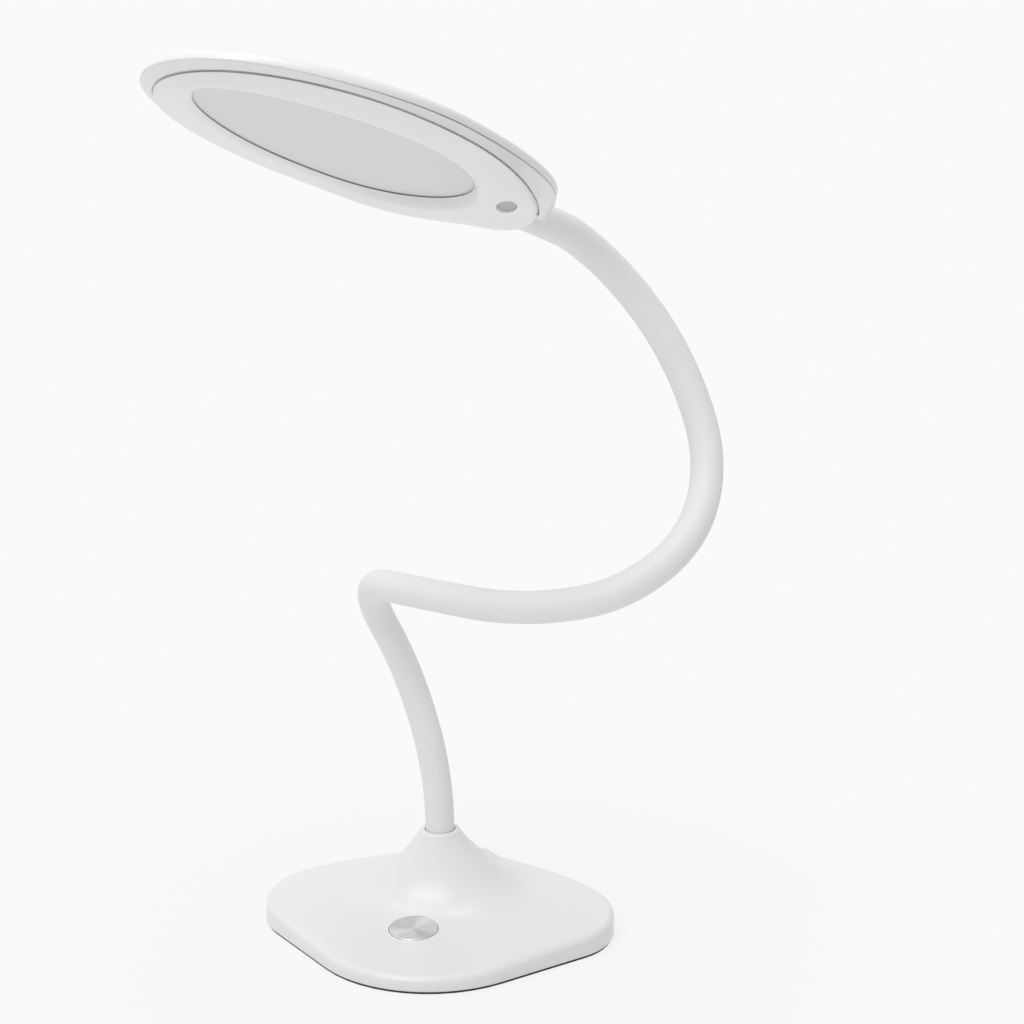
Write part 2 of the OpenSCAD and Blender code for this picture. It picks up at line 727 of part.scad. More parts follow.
// Height of the top cover's edge: it falls to the tip, and a hood rises behind over the neck
function cover_edge(p) =
    let (share = (p[0] - rear_x) / (head_tail + head_len - rear_x),
         hood = abs(p[1]) < hood_half ? (1 + cos(180 * p[1] / hood_half)) / 2 : 0)
    rim_top + cover_side_h - cover_fall * share
        + hood_h * hood * soft((hood_end - p[0]) / (hood_end - rear_x));
// Ring of the top cover: an outline at a depth under its edge, or a share of an outline on the crown
function cover_ring(inset, depth) =
    [for (p = head_outline(inset)) [p[0], p[1], cover_edge(p) - depth]];
function crown_ring(inset, depth, s) =
    [for (p = shrink(head_outline(inset), s))
        [p[0], p[1], cover_edge(p) - depth + crown_h * (1 - s * s)]];
function crown_top(depth) =
    let (c = [head_cx, 0], z = cover_edge(c) - depth + crown_h)
    lift([for (p = head_outline(0)) c + crown_flat * (p - c) / norm(p - c)], z);

// Domed cover: skin from the inside of its crown, round the lower edge, and over the outside
function cover_rings() =
    let (crown = [0.3, 0.5, 0.68, 0.84, 1],
         inner_inset = cover_wall + cover_round * 2 / 3)
    concat(
        [crown_top(cover_wall)],
        [for (s = crown) crown_ring(inner_inset, cover_wall, s)],
        [cover_ring(cover_wall, cover_wall + cover_round / 3), lift(head_outline(cover_wall), rim_top),
         lift(head_outline(cover_lip), rim_top), lift(head_outline(0), rim_top + cover_lip)],
        [for (c = cover_curve) cover_ring(cover_round * c[0], cover_round * c[1])],
        [for (k = [len(crown) - 1:-1:0]) crown_ring(cover_round, 0, crown[k])],
        [crown_top(0)]);

module head_top_cover() {
    color("white") at_head() difference() {
        loft(cover_rings());
        bar_x(neck_hole_d, 0, stub_x + clamp_gap);
    }
}

module diffuser() {
    color("whitesmoke") at_head() {
        translate([0, 0, rim_z]) linear_extrude(diffuser_t) polygon(window_outline(diffuser_lip));
        translate([0, 0, plate_z + diffuser_recess]) linear_extrude(rim_z - plate_z - diffuser_recess)
            polygon(window_outline(-diffuser_gap));
    }
}

module light_board() {
    color("white") at_head() translate([0, 0, rim_top - board_t]) linear_extrude(board_t)
        polygon(window_outline(board_margin));
}

module light_chips() {
    pitch = [window_len / (chip_cols + 2), window_w / (chip_rows + 2)];
    color("khaki") at_head() for (c = [0:chip_cols - 1], r = [0:chip_rows - 1])
        translate([window_cx + (c - (chip_cols - 1) / 2) * pitch[0] - chip_size[0] / 2,
                   (r - (chip_rows - 1) / 2) * pitch[1] - chip_size[1] / 2,
                   rim_top - board_t - chip_size[2]]) cube(chip_size);
}

module heat_spreader() {
    color("silver") at_head() difference() {
        translate([0, 0, rim_top]) linear_extrude(spreader_t) polygon(head_outline(spreader_inset));
        translate([0, -clamp_w / 2 - 1, rim_top - 1]) cube([lead_end + 1, clamp_w + 2, spreader_t + 2]);
        for (p = spreader_sites) translate([p[0], p[1], rim_top - 1])
            cylinder(d = spreader_screw_d + 0.4, h = spreader_t + 2);
    }
}

module spreader_screws() {
    color("silver") at_head() for (p = spreader_sites) translate([p[0], p[1], rim_top + spreader_t]) {
        cylinder(d = spreader_screw_head_d, h = spreader_screw_head_t);
        translate([0, 0, -spreader_t - ledge_t])
            cylinder(d = spreader_screw_d, h = spreader_t + ledge_t + spreader_screw_head_t / 2);
    }
}

base_shell();
base_cover();
base_pad();
weight_plate();
base_screws();
dc_inlet();
control_board();
tact_switch();
tact_plunger();
button_cap();
supply_lead();
lamp_lead();
neck_ferrule();
neck_nut();
for (i = [1:links]) {
    neck_sleeve(i);
    neck_core(i);
    neck_lead(i);
}
neck_clamp();
clamp_screw();
screw_plug();
head_plate();
head_rim();
head_top_cover();
diffuser();
light_board();
light_chips();
heat_spreader();
spreader_screws();
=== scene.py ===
import math
import bmesh
import bpy
from mathutils import Matrix, Vector


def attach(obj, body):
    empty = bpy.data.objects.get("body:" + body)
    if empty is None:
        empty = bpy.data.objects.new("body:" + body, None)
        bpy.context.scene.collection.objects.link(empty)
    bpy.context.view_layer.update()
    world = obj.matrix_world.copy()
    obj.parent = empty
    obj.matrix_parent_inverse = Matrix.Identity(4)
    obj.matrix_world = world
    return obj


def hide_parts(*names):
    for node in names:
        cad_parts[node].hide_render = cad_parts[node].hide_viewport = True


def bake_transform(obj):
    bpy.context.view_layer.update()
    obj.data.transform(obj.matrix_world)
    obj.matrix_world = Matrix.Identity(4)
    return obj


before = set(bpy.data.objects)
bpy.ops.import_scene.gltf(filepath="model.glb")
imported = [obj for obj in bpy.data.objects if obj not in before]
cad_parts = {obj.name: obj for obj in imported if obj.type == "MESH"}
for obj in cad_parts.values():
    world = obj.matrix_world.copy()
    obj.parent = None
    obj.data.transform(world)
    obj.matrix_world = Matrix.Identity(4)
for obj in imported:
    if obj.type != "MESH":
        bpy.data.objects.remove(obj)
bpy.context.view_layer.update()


# Studio: a white paper sweep between white walls, lit by a wide softbox overhead and another in front. The
# camera stands a little to the right of the lamp, above its middle, and looks slightly down.
scene = bpy.context.scene
scene.view_settings.view_transform = "Standard"

eye = bpy.data.cameras.new("photo_camera")
eye.sensor_width = 36
eye.lens = 64.26
eye.clip_start = 0.05
camera = bpy.data.objects.new("photo_camera", eye)
camera_down, camera_turn = 12.21, 10
camera.location = (0.17964, -0.81721, 0.38305)
camera.rotation_euler = (math.radians(90 - camera_down), 0, math.radians(camera_turn))
scene.collection.objects.link(camera)
scene.camera = camera


class Tone:
    """A socket of a node tree. Sums and products of tones are Math nodes, and add makes any other node."""

    def __init__(self, tree, socket=None):
        self.tree = tree
        self.socket = socket

    def add(self, kind, settings, sockets, out=0):
        node = self.tree.nodes.new(kind)
        for key, value in settings.items():
            setattr(node, key, value)
        for key, value in sockets.items():
            if isinstance(value, Tone):
                self.tree.links.new(value.socket, node.inputs[key])
            else:
                node.inputs[key].default_value = value
        return Tone(self.tree, node.outputs[out] if len(node.outputs) else None)

    def math(self, operation, a, b=0.0, clamp=False):
        return self.add("ShaderNodeMath", {"operation": operation, "use_clamp": clamp}, {0: a, 1: b})

    def __add__(self, other):
        return self.math("ADD", self, other)

    __radd__ = __add__

    def __mul__(self, other):
        return self.math("MULTIPLY", self, other)

    __rmul__ = __mul__

    def __sub__(self, other):
        return self.math("SUBTRACT", self, other)

    def __rsub__(self, other):
        return self.math("SUBTRACT", other, self)


def fresh_tree(owner):
    owner.use_nodes = True
    owner.node_tree.nodes.clear()
    return Tone(owner.node_tree)


def seen_directly(tone):
    """1 for what the eye, a mirror or a glass sees directly, 0 for light that bounces."""
    rays = [tone.add("ShaderNodeLightPath", {}, {}, out)
            for out in ("Is Camera Ray", "Is Glossy Ray", "Is Transmission Ray")]
    return tone.math("ADD", rays[0] + rays[1], rays[2], clamp=True)


backdrop_white, wall_glow = 0.955, 0.57
scene.world = bpy.data.worlds.new("white_walls")
walls = fresh_tree(scene.world)
glow = walls.add("ShaderNodeBackground", {}, {"Color": (0.98, 0.99, 1.0, 1), "Strength": wall_glow})
blank = walls.add("ShaderNodeBackground", {}, {"Color": (1, 1, 1, 1), "Strength": backdrop_white})
walls.add("ShaderNodeOutputWorld", {}, {
    "Surface": walls.add("ShaderNodeMixShader", {}, {0: seen_directly(walls), 1: glow, 2: blank})})

sweep_r, shadow_middle, shadow_r, shadow_fade, least_white = 4, (0, -0.02, 0), 0.11, 0.16, 0.82
bm = bmesh.new()
bmesh.ops.create_circle(bm, cap_ends=True, segments=96, radius=sweep_r)
sweep = bpy.data.objects.new("sweep", bpy.data.meshes.new("sweep"))
bm.to_mesh(sweep.data)
bm.free()
scene.collection.objects.link(sweep)
paper = bpy.data.materials.new("sweep_paper")
tone = fresh_tree(paper)
place = tone.add("ShaderNodeTexCoord", {}, {}, "Object")
reach = tone.add("ShaderNodeVectorMath", {"operation": "DISTANCE"}, {0: place, 1: shadow_middle}, "Value")
far = tone.math("MULTIPLY", reach - shadow_r, 1 / shadow_fade, clamp=True)
lit = tone.add("ShaderNodeBsdfDiffuse", {}, {"Color": (0.86, 0.86, 0.86, 1)})
white = tone.add("ShaderNodeEmission", {}, {"Color": (1, 1, 1, 1), "Strength": backdrop_white})
whitened = tone.math("ADD", far * (1 - least_white), least_white, clamp=True) * seen_directly(tone)
tone.add("ShaderNodeOutputMaterial", {}, {
    "Surface": tone.add("ShaderNodeMixShader", {}, {0: whitened, 1: lit, 2: white})})
sweep.data.materials.append(paper)

lit_middle = Vector((0, -0.05, 0.1))


def softbox(name, place, size, power):
    """A rectangular lamp of soft light, aimed at the middle of the lit place."""
    lamp = bpy.data.lights.new(name, "AREA")
    lamp.shape = "RECTANGLE"
    lamp.size, lamp.size_y = size
    lamp.energy = power
    holder = bpy.data.objects.new(name, lamp)
    holder.location = place
    holder.rotation_euler = (lit_middle - Vector(place)).to_track_quat("-Z", "Y").to_euler()
    scene.collection.objects.link(holder)


softbox("overhead_softbox", (-0.3, -0.3, 2.8), (2.0, 1.7), 24)
softbox("front_softbox", (-0.9, -2.2, 2.7), (1.5, 1.3), 30)


# Anti-slip pad, bottom cover and weight: a die-cut sheet of black rubber glued under a stamped steel cover,
# which four screws hold to the shell, with a cast iron plate lying on it behind the button.
def finish(name, metallic=0.0, **plain):
    """A material, the tone of its tree, its place on the object and a call that closes it."""
    made = bpy.data.materials.new(name)
    tone = fresh_tree(made)
    place = tone.add("ShaderNodeTexCoord", {}, {}, "Object")

    def close(colour, rough, normal=None):
        sockets = {"Base Color": colour, "Roughness": rough, "Metallic": metallic, **plain}
        if normal is not None:
            sockets["Normal"] = normal
        tone.add("ShaderNodeOutputMaterial", {}, {
            "Surface": tone.add("ShaderNodeBsdfPrincipled", {}, sockets)})
        return made

    return tone, place, close


def noise(tone, place, size, detail=2.0):
    """Noise whose clumps are about size metres across."""
    return tone.add("ShaderNodeTexNoise", {}, {"Vector": place, "Scale": 1 / size, "Detail": detail}, 0)


def between(tone, share, low, high):
    return tone.add("ShaderNodeMix", {"data_type": "RGBA"}, {0: share, 6: (*low, 1), 7: (*high, 1)}, 2)


def bump(tone, height, depth, strength=1.0):
    return tone.add("ShaderNodeBump", {}, {"Strength": strength, "Distance": depth, "Height": height})


def coat_nodes(material, *nodes):
    for name in nodes:
        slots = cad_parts[name].data.materials
        slots.clear()
        slots.append(material)


tone, place, close = finish("pad_rubber")
grain = noise(tone, place, 0.0012, 3)
dust = noise(tone, place, 0.02)
pad_rubber = close(between(tone, dust, (0.028, 0.028, 0.03), (0.055, 0.055, 0.056)), 0.72 + 0.2 * grain,
                   bump(tone, grain, 0.0003, 0.6))
coat_nodes(pad_rubber, "base_pad")

tone, place, close = finish("cover_enamel")
peel = noise(tone, place, 0.0015)
cover_enamel = close(between(tone, peel, (0.10, 0.10, 0.105), (0.14, 0.14, 0.145)), 0.35 + 0.2 * peel,
                     bump(tone, peel, 0.0001, 0.5))
coat_nodes(cover_enamel, "base_cover")

tone, place, close = finish("cast_iron", metallic=0.8)
sand = noise(tone, place, 0.0016, 4)
cast_iron = close(between(tone, sand, (0.12, 0.12, 0.125), (0.24, 0.23, 0.22)), 0.6 + 0.3 * sand,
                  bump(tone, sand, 0.0004, 0.8))
coat_nodes(cast_iron, "weight_plate")

tone, place, close = finish("plated_steel", metallic=1.0)
plating = noise(tone, place, 0.004, 4)
plated_steel = close(between(tone, plating, (0.50, 0.50, 0.50), (0.66, 0.66, 0.67)), 0.22 + 0.2 * plating)
coat_nodes(plated_steel, "base_screws", "neck_ferrule", "neck_nut", "clamp_screw", "spreader_screws")


# Base shell: one satin white moulding. Its top falls to the front and sweeps up behind the button into the
# post, whose rounded rim is the socket for the neck. The wall is 2.2 mm thick, and the side edge is round.
base_w, base_x, base_back, base_front = 170, 1.8, 40, 85
corner_r, corner_y, front_r = 32, 13, 60
corner_x = base_w / 2 - corner_r
back_k = base_back - corner_r
back_cy = (back_k ** 2 - corner_x ** 2 - corner_y ** 2) / (2 * (corner_y + back_k))
front_cy = front_r - base_front
flank = math.hypot(corner_x, -corner_y - front_cy)
flank_a = math.atan2(-corner_y - front_cy, corner_x) - math.acos((front_r - corner_r) / flank)
back_a = math.atan2(-corner_y - back_cy, corner_x)
front_h, back_h = 8, 16.2
top_slope = (back_h - front_h) / (base_front + base_back)
post_r, post_h, rim_round, rim_inset = 10, 45, 1.4, 1.6
flare_r, flare_narrows, flare_power = 52, 18, 2.2
raised_h, raised_sides, raised_rear = 2.9, (24, 14), (0, base_back / 3)
shell_wall, shell_edge, shell_foot = 2.2, 3.0, 1.2
socket_r, socket_d, socket_round = 7.3, 11, 0.4
boss_r, boss_z, thread_r = 12, 30, 5.2
socket_z = post_h - socket_d


def arc(x, y, r, start, stop, steps):
    return [Vector((x + r * math.cos(a), y + r * math.sin(a), 0))
            for a in (start + (stop - start) * k / steps for k in range(steps))]


def straight(a, b, steps):
    return [a.lerp(b, k / steps) for k in range(steps)]


def base_edge(inset):
    """Plan of the base: front arc, two flanks, two corner arcs and the back arc, drawn in by inset."""
    front = arc(0, front_cy, front_r - inset, -math.pi - flank_a, flank_a, 40)
    right = arc(corner_x, -corner_y, corner_r - inset, flank_a, back_a, 30)
    back = arc(0, back_cy, base_back - back_cy - inset, back_a, math.pi - back_a, 44)
    left = arc(-corner_x, -corner_y, corner_r - inset, math.pi - back_a, math.pi - flank_a, 30)
    front_end = Vector((-front[0].x, front[0].y, 0))
    left_end = Vector((-right[0].x, right[0].y, 0))
    plan = (front + straight(front_end, right[0], 12) + right + back + left
            + straight(left_end, front[0], 12))
    return [p + Vector((base_x, 0, 0)) for p in plan]


def base_plane(y):
    return front_h + (y + base_front) * top_slope


def fade(x, start, stop):
    """A smooth step from 0 where x is start to 1 where it is stop."""
    u = min(1, max(0, (x - start) / (stop - start)))
    return u * u * (3 - 2 * u)


def base_top(p):
    """Height of the top face: the sloping plane, the raised back over the inlet, the flare to the post."""
    r = math.hypot(p.x, p.y)
    ahead = max(0, -p.y / max(r, 0.1)) ** 2
    flare_len = flare_r - flare_narrows * ahead - post_r
    rise = (1 - min(1, max(0, (r - post_r) / flare_len))) ** flare_power
    raised = raised_h * fade(abs(p.x), *raised_sides) * fade(p.y, *raised_rear)
    return base_plane(p.y) + (post_h - rim_round - base_plane(0)) * rise + raised * (1 - rise)


def level(points, z):
    return [Vector((p.x, p.y, z)) for p in points]


def on_circle(points, r, z):
    return [Vector((p.x, p.y, 0)).normalized() * r + Vector((0, 0, z)) for p in points]


def skin(rings, closed=False, frame_at=Matrix.Identity(4)):
    """A grid whose columns go round and whose rows go along, laid over rings of points in millimetres."""
    around, rows = len(rings[0]), len(rings)
    along = rows if closed else rows - 1
    bm = bmesh.new()
    bmesh.ops.create_grid(bm, x_segments=around, y_segments=along, size=0.5)
    for v in bm.verts:
        i = round((v.co.x + 0.5) * around) % around
        j = round((v.co.y + 0.5) * along) % rows
        v.co = frame_at @ rings[j][i] * 0.001
    bmesh.ops.remove_doubles(bm, verts=bm.verts, dist=1e-7)
    bmesh.ops.recalc_face_normals(bm, faces=bm.faces)
    return bm


def rod(radius, start, stop, frame_at=Matrix.Identity(4), segments=96):
    """A round bar along Z of frame_at, from start to stop, in millimetres."""
    bm = bmesh.new()
    at = frame_at @ Matrix.Translation((0, 0, (start + stop) / 2))
    bmesh.ops.create_cone(bm, cap_ends=True, segments=segments, radius1=radius, radius2=radius,
                          depth=stop - start, matrix=at)
    bmesh.ops.scale(bm, vec=(0.001, 0.001, 0.001), verts=bm.verts)
    return bm


def carve(bm, *tools):
    """bm with the shape of each tool cut away."""
    blanks = []
    for shape in (bm, *tools):
        blank = bpy.data.objects.new("blank", bpy.data.meshes.new("blank"))
        shape.to_mesh(blank.data)
        scene.collection.objects.link(blank)
        blanks.append(blank)
    for tool in blanks[1:]:
        cut = blanks[0].modifiers.new("cut", "BOOLEAN")
        cut.operation, cut.solver, cut.object = "DIFFERENCE", "EXACT", tool
    bpy.context.view_layer.update()
    solid = blanks[0].evaluated_get(bpy.context.evaluated_depsgraph_get())
    carved = bmesh.new()
    carved.from_mesh(solid.to_mesh())
    solid.to_mesh_clear()
    for blank in blanks:
        mesh = blank.data
        bpy.data.objects.remove(blank)
        bpy.data.meshes.remove(mesh)
    return carved


def piece(name, bm, material, smooth=40):
    """A finished object at the origin, smooth but for edges that turn by more than the given degrees."""
    for face in bm.faces:
        face.smooth = True
    for edge in bm.edges:
        edge.smooth = edge.is_boundary or edge.calc_face_angle(0) < math.radians(smooth)
    made = bpy.data.objects.new(name, bpy.data.meshes.new(name))
    bm.to_mesh(made.data)
    bm.free()
    made.data.materials.append(material)
    scene.collection.objects.link(made)
    return made


outer, inside, shoulder = base_edge(0), base_edge(shell_wall), base_edge(shell_edge)
rings = [on_circle(inside, thread_r, boss_z), on_circle(inside, boss_r, boss_z)]
for s in (0.06, 0.16, 0.3, 0.5, 0.75, 1):
    ring = [p * s + p.normalized() * boss_r * (1 - s) for p in inside]
    rings.append([Vector((q.x, q.y, min(boss_z + 0.01 + s, base_top(q) - shell_wall))) for q in ring])
rings.append(level(inside, shell_foot))
for inset, up in ((0.6, 0), (0.2, 0.25), (0, 0.8)):
    rings.append(level(base_edge(inset), shell_foot + up))
for step in range(9):
    a = math.radians(90 * step / 8)
    rings.append([Vector((p.x, p.y, base_top(p) - shell_edge * (1 - math.sin(a))))
                  for p in base_edge(shell_edge * (1 - math.cos(a)))])
flare_steps, flare_crowding = 40, 1.35
for step in range(1, flare_steps + 1):
    s = (1 - step / flare_steps) ** flare_crowding
    ring = [p * s + p.normalized() * post_r * (1 - s) for p in shoulder]
    rings.append([Vector((q.x, q.y, base_top(q))) for q in ring])
for step in range(2, 9):
    a = math.radians(90 * step / 8)
    rings.append(on_circle(outer, post_r - rim_inset * (1 - math.cos(a)),
                           post_h - rim_round * (1 - math.sin(a))))
rings += [on_circle(outer, socket_r + socket_round, post_h),
          on_circle(outer, socket_r + 0.25 * socket_round, post_h - 0.3 * socket_round),
          on_circle(outer, socket_r, post_h - socket_round), on_circle(outer, socket_r, socket_z),
          on_circle(outer, thread_r, socket_z)]

button_x, button_y, button_tilt = -4, -41.5, math.atan(top_slope)
button_hole_r, button_hole_ends = 11.8, (-8, 12)
button_at = (Matrix.Translation((button_x, button_y, base_plane(button_y)))
             @ Matrix.Rotation(button_tilt, 4, "X"))
inlet_z, inlet_hole_r, inlet_hole_ends = 8.2, 4.3, (33.8, base_back + 6)
inlet_at = Matrix.Translation((0, 0, inlet_z)) @ Matrix.Rotation(math.radians(-90), 4, "X")
bm = carve(skin(rings, closed=True), rod(button_hole_r, *button_hole_ends, button_at),
           rod(inlet_hole_r, *inlet_hole_ends, inlet_at))

tone, place, close = finish("satin_white")
cloud = noise(tone, place, 0.06)
speck = noise(tone, place, 0.0007, 3)
# Painted highlight: a pale spot painted into the top face's colour in front of the button, standing in for
# a glint.
highlight_at, highlight_r = (-0.0026, -0.059, 0.0097), 0.0042
from_highlight = tone.add("ShaderNodeVectorMath", {"operation": "DISTANCE"}, {0: place, 1: highlight_at}, "Value")
highlight_share = 1 - tone.math("MULTIPLY", from_highlight, 1 / highlight_r, clamp=True)
painted_highlight = tone.math("MULTIPLY", highlight_share, 1.4, clamp=True)
# Random clouding of the white, plus the painted highlight in front of the button.
cloud_and_highlight = tone.math("ADD", 0.5 * cloud, 0.9 * painted_highlight, clamp=True)
satin_white = close(between(tone, cloud_and_highlight, (0.815, 0.818, 0.82), (0.865, 0.866, 0.866)),
                    0.27 + 0.06 * speck, bump(tone, speck, 0.00004, 0.12))

shell = piece("base_shell_skin", bm, satin_white)
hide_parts("base_shell")
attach(shell, "base")


# Power inlet: a black moulded jack behind the shell's back wall, flush with it, with a centre pin.
# It stands on the bottom cover and takes a small barrel plug.
tone, place, close = finish("black_moulding")
grain = noise(tone, place, 0.0005, 3)
black_moulding = close(between(tone, grain, (0.018, 0.018, 0.019), (0.04, 0.04, 0.041)),
                       0.38 + 0.2 * grain, bump(tone, grain, 0.00005, 0.5))
coat_nodes(black_moulding, "dc_inlet", "tact_switch")


# Control board, switch plunger and leads: a green glass-fibre board on four posts of the cover, a small
# ivory plunger under the button, and dark jacketed leads to the inlet and up the neck.
tone, place, close = finish("green_board")
weave = noise(tone, place, 0.0009, 2)
green_board = close(between(tone, weave, (0.012, 0.09, 0.04), (0.02, 0.15, 0.07)), 0.3 + 0.2 * weave)
coat_nodes(green_board, "control_board")

tone, place, close = finish("ivory_moulding")
grain = noise(tone, place, 0.0006, 2)
ivory_moulding = close(between(tone, grain, (0.70, 0.66, 0.55), (0.78, 0.74, 0.64)), 0.4 + 0.15 * grain)
coat_nodes(ivory_moulding, "tact_plunger")

tone, place, close = finish("lead_jacket")
grain = noise(tone, place, 0.0008, 2)
lead_jacket = close(between(tone, grain, (0.03, 0.03, 0.032), (0.06, 0.06, 0.062)), 0.45 + 0.2 * grain)
coat_nodes(lead_jacket, "supply_lead", "lamp_lead", *[f"neck_lead_{i}" for i in range(1, 10)])


# Button surround: a raised bead of the shell's white plastic, moulded with it and polished, round the hole
# for the button. Its colour is painted paler than the shell's, a painted highlight for the bright ring
# round the button.
def turned(profile, frame_at, steps):
    """A body of revolution about Z of frame_at, from a profile of radius and height in millimetres."""
    bm = bmesh.new()
    corners = [bm.verts.new((r, 0, z)) for r, z in profile]
    edges = [bm.edges.new(pair) for pair in zip(corners, corners[1:])]
    bmesh.ops.spin(bm, geom=corners + edges, cent=(0, 0, 0), axis=(0, 0, 1), angle=math.tau, steps=steps,
                   use_merge=True)
    bmesh.ops.remove_doubles(bm, verts=bm.verts, dist=1e-5)
    bmesh.ops.recalc_face_normals(bm, faces=bm.faces)
    bmesh.ops.transform(bm, matrix=Matrix.Scale(0.001, 4) @ frame_at, verts=bm.verts)
    return bm


bead_r, bead_w, bead_h, bead_foot = 11.75, 0.95, 0.48, -1
bead = [(bead_r, bead_foot), (bead_r, 0.2), (bead_r + 0.12, 0.4), (bead_r + 0.35, bead_h),
        (bead_r + 0.6, 0.4), (bead_r + 0.8, 0.15), (bead_r + bead_w, bead_foot), (bead_r, bead_foot)]
tone, place, close = finish("polished_white_painted_highlight", **{"Coat Weight": 0.5})
speck = noise(tone, place, 0.001)
# Painted highlight: the bead's colour is paler than the shell's plastic; its gloss and coat are real.
polished_white_painted_highlight = close(between(tone, speck, (0.90, 0.90, 0.90), (0.93, 0.93, 0.93)), 0.12 + 0.08 * speck)
surround = piece("button_surround_bead", turned(bead, button_at, 128), polished_white_painted_highlight)
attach(surround, "base")


# Push button: a turned aluminium cap, faced with fine rings from its centre so that light fans over it;
# bright wedges are also painted into its colour as a painted highlight. It stands a little proud of the
# shell, and a flange under the shell keeps it in.
cap_r, cap_top, cap_edge, cap_land, cap_dish = 11.5, 0.8, 0.45, 1.4, 0.5
flange_r, flange_low, flange_top = cap_r + 1.5, -3.2, -2.5
profile = [(0, flange_low), (flange_r, flange_low), (flange_r, flange_top), (cap_r, flange_top),
           (cap_r, cap_top - cap_edge)]
profile += [(cap_r - cap_edge * (1 - math.cos(a)), cap_top - cap_edge * (1 - math.sin(a)))
            for a in (math.radians(22.5 * k) for k in (1, 2, 3, 4))]
profile += [(cap_r - cap_land, cap_top), (cap_r - 3, cap_top - 0.36 * cap_dish),
            (cap_r - 6, cap_top - 0.76 * cap_dish), (0, cap_top - cap_dish)]

tone, place, close = finish("spun_aluminium", metallic=1.0)
centre = button_at.to_translation() * 0.001
local = tone.add("ShaderNodeMapping", {"vector_type": "TEXTURE"}, {
    "Vector": place, "Location": centre, "Rotation": (button_tilt, 0, 0)})
x = tone.add("ShaderNodeSeparateXYZ", {}, {0: local}, "X")
y = tone.add("ShaderNodeSeparateXYZ", {}, {0: local}, "Y")
out = tone.math("POWER", x * x + y * y, 0.5)
turn = tone.math("ARCTAN2", y, x)
ring_pitch = 0.00022
rings_cut = tone.math("SINE", out * (math.tau / ring_pitch))
# Painted highlight: bright wedges across the cap, painted into its colour by the angle round its centre.
painted_fan_highlight = 0.5 + 0.30 * tone.math("COSINE", 2 * turn - 1.9) + 0.2 * tone.math("COSINE", 5 * turn + 0.4)
scratch = noise(tone, tone.add("ShaderNodeCombineXYZ", {}, {0: out * 9, 1: turn * 0.0006}), 0.0012, 3)
spun_aluminium = close(between(tone, tone.math("MULTIPLY", 0.75 * painted_fan_highlight + 0.25 * scratch, 1, clamp=True),
                               (0.50, 0.50, 0.505), (0.80, 0.80, 0.80)),
                       0.30 + 0.12 * scratch, bump(tone, rings_cut, 0.00002, 0.5))
button = piece("button_cap_turned", turned(profile, button_at, 128), spun_aluminium)
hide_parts("button_cap")
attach(button, "button")


# Neck: a smooth white silicone sleeve over a steel core that stays where it is bent, clamped by a threaded
# fitting in the post. The bends follow the photograph; a sleeve piece covers each joint, from the middle of
# one link to the middle of the next.
link_len, neck_r, stub_len, foot_gap = 54, 7, 43, 1
link_bend = [17, 31, 72, 38, 20, 66, 54, 32, 37]
link_roll = [168, -94, -50, -8, 80, 42, 106, 116, 132]


def turn_about(axis, degrees):
    return Matrix.Rotation(math.radians(degrees), 4, axis)


def along_link(i, share):
    """Frame at a share of the way along link i, counted from 0, with Z along the neck."""
    r = link_len / math.radians(link_bend[i])
    bend = (Matrix.Translation((r, 0, 0)) @ turn_about("Y", link_bend[i] * share)
            @ Matrix.Translation((-r, 0, 0)))
    return link_starts[i] @ turn_about("Z", link_roll[i]) @ bend @ turn_about("Z", -link_roll[i])


link_starts = [Matrix.Translation((0, 0, post_h))]
for i in range(9):
    link_starts.append(along_link(i, 1))


def bend_ring(bm, ring, i, share):
    """Sweeps a ring of edges along a share of link i's arc, and returns the ring at the end."""
    hub = link_starts[i] @ turn_about("Z", link_roll[i])
    r = link_len / math.radians(link_bend[i])
    swept = bmesh.ops.spin(bm, geom=ring, cent=hub @ Vector((r, 0, 0)),
                           axis=hub.to_3x3() @ Vector((0, 1, 0)),
                           angle=math.radians(link_bend[i]) * share, steps=14)
    return swept["geom_last"]


def only(kind, geometry):
    return [part for part in geometry if isinstance(part, kind)]


def push_ring(bm, ring, way):
    """Draws a ring of edges out by way, and returns the new ring."""
    drawn = bmesh.ops.extrude_edge_only(bm, edges=only(bmesh.types.BMEdge, ring))["geom"]
    verts = only(bmesh.types.BMVert, drawn)
    bmesh.ops.translate(bm, vec=way, verts=verts)
    return verts + [e for e in only(bmesh.types.BMEdge, drawn) if all(v in verts for v in e.verts)]


def sleeve(start, bends, run_in=0, run_out=0):
    """Sleeve from a ring at frame start: straight for run_in, through (link, share) bends, and straight
    into the head for run_out. Both ends are closed."""
    bm = bmesh.new()
    first = bmesh.ops.create_circle(bm, segments=48, radius=neck_r, matrix=start)["verts"]
    first_ring = bm.edges[:]
    ring = first + first_ring
    if run_in:
        ring = push_ring(bm, ring, Vector((0, 0, run_in)))
    for i, share in bends:
        ring = bend_ring(bm, ring, i, share)
    if run_out:
        ring = push_ring(bm, ring, head_at.to_3x3() @ Vector((run_out, 0, 0)))
    bmesh.ops.edgeloop_fill(bm, edges=first_ring)
    bmesh.ops.edgeloop_fill(bm, edges=only(bmesh.types.BMEdge, ring))
    bmesh.ops.remove_doubles(bm, verts=bm.verts, dist=1e-4)
    bmesh.ops.recalc_face_normals(bm, faces=bm.faces)
    bmesh.ops.scale(bm, vec=(0.001, 0.001, 0.001), verts=bm.verts)
    return bm


tone, place, close = finish("white_silicone", **{"Sheen Weight": 0.12, "Sheen Roughness": 0.5})
cloud = noise(tone, place, 0.03)
fuzz = noise(tone, place, 0.0005, 3)
white_silicone = close(between(tone, cloud, (0.79, 0.79, 0.785), (0.84, 0.84, 0.835)), 0.42 + 0.16 * fuzz,
                       bump(tone, fuzz, 0.00004, 0.4))

head_roll, head_nod = 104, 7
head_at = link_starts[9] @ (turn_about("Z", head_roll) @ turn_about("Y", head_nod - 90))

